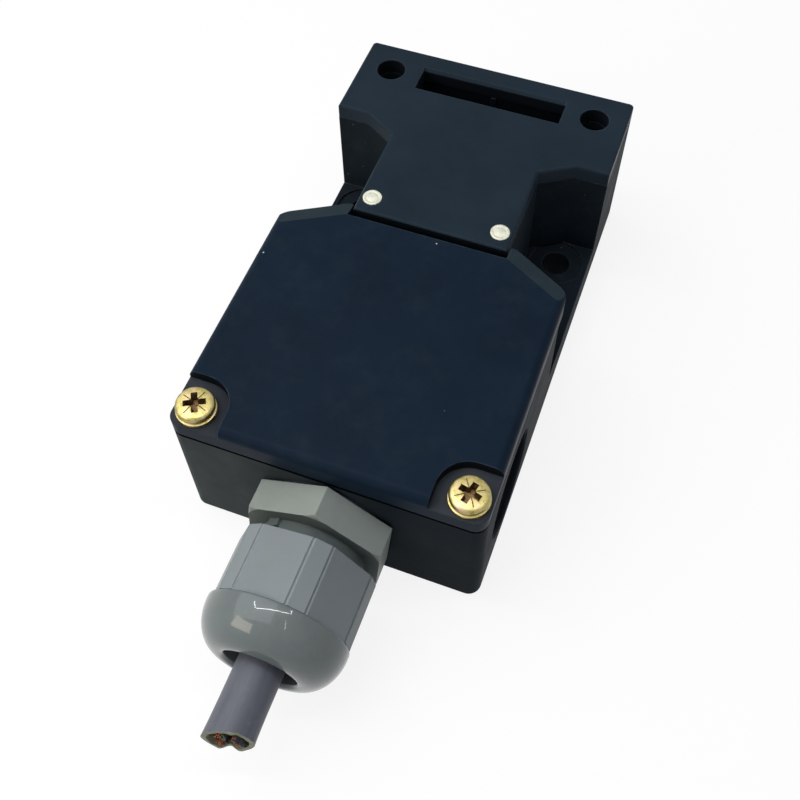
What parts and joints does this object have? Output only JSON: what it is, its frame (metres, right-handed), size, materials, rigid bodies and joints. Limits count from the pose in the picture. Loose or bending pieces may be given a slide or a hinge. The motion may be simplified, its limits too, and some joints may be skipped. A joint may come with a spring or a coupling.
{
  "type": "tongue interlock switch",
  "caption": "Safety switch for a machine guard: a keyed tongue enters one of two slots, turns a cam rotor and closes the contacts; wiring chamber, cover and cable gland.",
  "frame": {"origin": "midway between the two round fixing holes at the head end, on the back face", "axes": "+X to the right seen from the front with the head end up, +Y towards the head end with the tongue slots, +Z out of the front face"},
  "size_m": [0.052, 0.1282, 0.0304],
  "materials": {
    "black_rubber": "nitrile rubber",
    "block_plastic": "moulded insulating plastic",
    "cable_grey": "PVC cable jacket",
    "contact_brass": "stamped brass with silver contact tips",
    "copper": "copper strands",
    "core_insulation": "PVC core insulation",
    "gland_grey": "moulded polyamide, warm grey",
    "housing_black": "glass-filled thermoplastic, black with a blue cast",
    "insert_brass": "turned brass",
    "nut_grey": "moulded polyamide, glossy dome",
    "pin_steel": "ground steel",
    "plate_black": "smooth moulded thermoplastic",
    "plunger_plastic": "natural acetal",
    "rivet_metal": "dull white metal",
    "rotor_plastic": "moulded acetal, dark",
    "spring_steel": "spring wire",
    "terminal_steel": "zinc-plated steel",
    "yellow_zinc": "steel with a yellow zinc finish"
  },
  "bodies": {
    "base": {"cable_cores": "core_insulation", "cable_jacket": "cable_grey", "clamp_washers": "terminal_steel", "contact_block": "block_plastic", "contact_block_lid": "block_plastic", "core_conductors": "copper", "gland_body": "gland_grey", "gland_cap_nut": "nut_grey", "gland_seal_insert": "black_rubber", "gland_seal_ring": "black_rubber", "head_cover_plate": "plate_black", "housing": "housing_black", "plate_rivets": "rivet_metal", "plunger_spring": "spring_steel", "rotor_shaft": "pin_steel", "screw_inserts": "insert_brass", "terminal_screws": "terminal_steel", "terminal_strip_1": "contact_brass", "terminal_strip_2": "contact_brass", "terminal_strip_3": "contact_brass", "terminal_strip_4": "contact_brass"},
    "rotor": {"cam_rotor": "rotor_plastic"},
    "contact_slider": {"plunger": "plunger_plastic", "contact_carrier": "plunger_plastic", "contact_bridge_1": "contact_brass", "contact_bridge_2": "contact_brass", "contact_spring_1": "spring_steel", "contact_spring_2": "spring_steel"},
    "cover": {"wiring_cover": "housing_black", "cover_gasket": "black_rubber", "cover_screws": "yellow_zinc"}
  },
  "joints": [
    {"name": "rotor_turn", "type": "hinge", "parent": "base", "child": "rotor", "pos_m": [0, -0.0075, 0.014], "axis": [-1, 0, 0], "range_deg": [0, 60]},
    {"name": "contact_slide", "type": "slide", "parent": "base", "child": "contact_slider", "axis": [0, 1, 0], "range_m": [0, 0.003], "deforming": ["plunger_spring"]},
    {"name": "cover_lift", "type": "slide", "parent": "base", "child": "cover", "axis": [0, 0, 1], "range_m": [0, 0.028]}
  ],
  "couplings": [
    {"joint": "contact_slide", "follows": "rotor_turn", "m_per_rad": 0.0028647}
  ]
}
